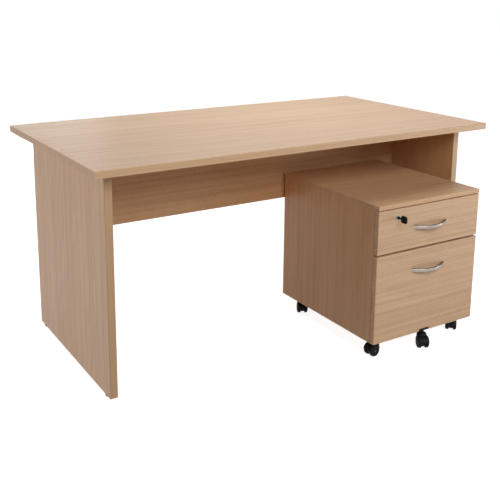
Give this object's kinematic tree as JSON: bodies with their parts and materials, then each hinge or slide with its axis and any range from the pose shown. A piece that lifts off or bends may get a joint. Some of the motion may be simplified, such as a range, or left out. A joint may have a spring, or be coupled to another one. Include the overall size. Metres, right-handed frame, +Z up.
{
  "type": "pedestal desk",
  "caption": "Panel-end office desk in light beech with a modesty panel, and a lockable drawer pedestal on castors that rolls under it.",
  "frame": {"origin": "on the floor, under the middle of the whole object's box", "axes": "+X along the desk to the right of someone who sits at it, +Y to the desk's back, +Z up"},
  "size_m": [1.5, 0.97, 0.725],
  "materials": {
    "beech_board": "satin beech melamine",
    "beech_edging": "satin beech edging",
    "dowel_beech": "raw",
    "zinc_fitting": "bright zinc",
    "black_plastic": "matt",
    "runner_steel": "zinc plated",
    "drawer_steel": "satin light grey paint",
    "satin_handle": "satin",
    "lock_metal": "nickel plated",
    "castor_steel": "zinc plated",
    "bracket_black": "satin black paint",
    "castor_hood": "satin",
    "castor_wheel": "satin"
  },
  "bodies": {
    "desk": {"desktop": "beech_board", "desktop_edging": "beech_edging", "left_end_panel": "beech_board", "right_end_panel": "beech_board", "end_panel_edging": "beech_edging", "modesty_panel": "beech_board", "desk_cam_bolts": "zinc_fitting", "desk_cams": "zinc_fitting", "desk_dowels": "dowel_beech", "floor_glides": "black_plastic"},
    "pedestal": {"pedestal_top": "beech_board", "pedestal_left_side": "beech_board", "pedestal_right_side": "beech_board", "pedestal_back": "beech_board", "pedestal_base": "beech_board", "pedestal_dowels": "dowel_beech", "top_runner_outer": "runner_steel", "file_runner_outer": "runner_steel", "castor_plates": "castor_steel", "castor_screws": "zinc_fitting", "lock_strike": "runner_steel"},
    "top_drawer": {"top_drawer_front": "beech_board", "top_drawer_body": "drawer_steel", "top_drawer_back": "drawer_steel", "top_drawer_handle": "satin_handle", "top_handle_screws": "zinc_fitting", "top_drawer_screws": "zinc_fitting", "top_runner_inner": "runner_steel", "lock_housing": "lock_metal"},
    "lock": {"lock_plug": "lock_metal", "lock_cam": "lock_metal", "lock_key": "lock_metal", "key_head": "black_plastic"},
    "file_drawer": {"file_drawer_front": "beech_board", "file_drawer_body": "drawer_steel", "file_drawer_back": "drawer_steel", "file_drawer_handle": "satin_handle", "file_handle_screws": "zinc_fitting", "file_drawer_screws": "zinc_fitting", "file_runner_inner": "runner_steel", "file_rails": "black_plastic", "anti_tilt_bracket": "bracket_black", "anti_tilt_screws": "zinc_fitting"},
    "file_runner_link": {"file_runner_middle": "runner_steel"},
    "front_left_castor": {"front_left_castor_hood": "castor_hood"},
    "front_left_wheels": {"front_left_castor_axle": "castor_steel", "front_left_castor_wheels": "castor_wheel"},
    "front_right_castor": {"front_right_castor_hood": "castor_hood"},
    "front_right_wheels": {"front_right_castor_axle": "castor_steel", "front_right_castor_wheels": "castor_wheel"},
    "back_left_castor": {"back_left_castor_hood": "castor_hood"},
    "back_left_wheels": {"back_left_castor_axle": "castor_steel", "back_left_castor_wheels": "castor_wheel"},
    "back_right_castor": {"back_right_castor_hood": "castor_hood"},
    "back_right_wheels": {"back_right_castor_axle": "castor_steel", "back_right_castor_wheels": "castor_wheel"},
    "anti_tilt_castor": {"anti_tilt_castor_hood": "castor_hood"},
    "anti_tilt_wheels": {"anti_tilt_castor_axle": "castor_steel", "anti_tilt_castor_wheels": "castor_wheel"}
  },
  "joints": [
    {"name": "pedestal_roll", "type": "slide", "parent": "desk", "child": "pedestal", "axis": [0, -1, 0], "range_m": [-0.008, 0.4]},
    {"name": "top_drawer_slide", "type": "slide", "parent": "pedestal", "child": "top_drawer", "axis": [0, -1, 0], "range_m": [0, 0.33]},
    {"name": "file_drawer_slide", "type": "slide", "parent": "pedestal", "child": "file_drawer", "axis": [0, -1, 0], "range_m": [0, 0.43]},
    {"name": "file_runner_slide", "type": "slide", "parent": "pedestal", "child": "file_runner_link", "axis": [0, -1, 0], "range_m": [0, 0.215]},
    {"name": "lock_turn", "type": "hinge", "parent": "top_drawer", "child": "lock", "pos_m": [0.223, -0.445, 0.4825], "axis": [0, 1, 0], "range_deg": [0, 90]},
    {"name": "front_left_swivel", "type": "hinge", "parent": "pedestal", "child": "front_left_castor", "pos_m": [0.186, -0.4, 0.05], "axis": [0, 0, 1], "continuous": true},
    {"name": "front_left_roll", "type": "hinge", "parent": "front_left_castor", "child": "front_left_wheels", "pos_m": [0.17405, -0.40105, 0.02], "axis": [0.0872, -0.9962, 0], "continuous": true},
    {"name": "front_right_swivel", "type": "hinge", "parent": "pedestal", "child": "front_right_castor", "pos_m": [0.546, -0.4, 0.05], "axis": [0, 0, 1], "continuous": true},
    {"name": "front_right_roll", "type": "hinge", "parent": "front_right_castor", "child": "front_right_wheels", "pos_m": [0.55418, -0.39122, 0.02], "axis": [-0.7314, 0.682, 0], "continuous": true},
    {"name": "back_left_swivel", "type": "hinge", "parent": "pedestal", "child": "back_left_castor", "pos_m": [0.186, 0.013, 0.05], "axis": [0, 0, 1], "continuous": true},
    {"name": "back_left_roll", "type": "hinge", "parent": "back_left_castor", "child": "back_left_wheels", "pos_m": [0.18037, 0.00241, 0.02], "axis": [0.8829, -0.4695, 0], "continuous": true},
    {"name": "back_right_swivel", "type": "hinge", "parent": "pedestal", "child": "back_right_castor", "pos_m": [0.546, 0.013, 0.05], "axis": [0, 0, 1], "continuous": true},
    {"name": "back_right_roll", "type": "hinge", "parent": "back_right_castor", "child": "back_right_wheels", "pos_m": [0.5501, 0.00172, 0.02], "axis": [0.9397, 0.342, 0], "continuous": true},
    {"name": "anti_tilt_swivel", "type": "hinge", "parent": "file_drawer", "child": "anti_tilt_castor", "pos_m": [0.366, -0.436, 0.05], "axis": [0, 0, 1], "continuous": true},
    {"name": "anti_tilt_roll", "type": "hinge", "parent": "anti_tilt_castor", "child": "anti_tilt_wheels", "pos_m": [0.36093, -0.44688, 0.02], "axis": [0.9063, -0.4226, 0], "continuous": true}
  ],
  "couplings": [
    {"joint": "file_runner_slide", "follows": "file_drawer_slide", "ratio": 0.5}
  ]
}
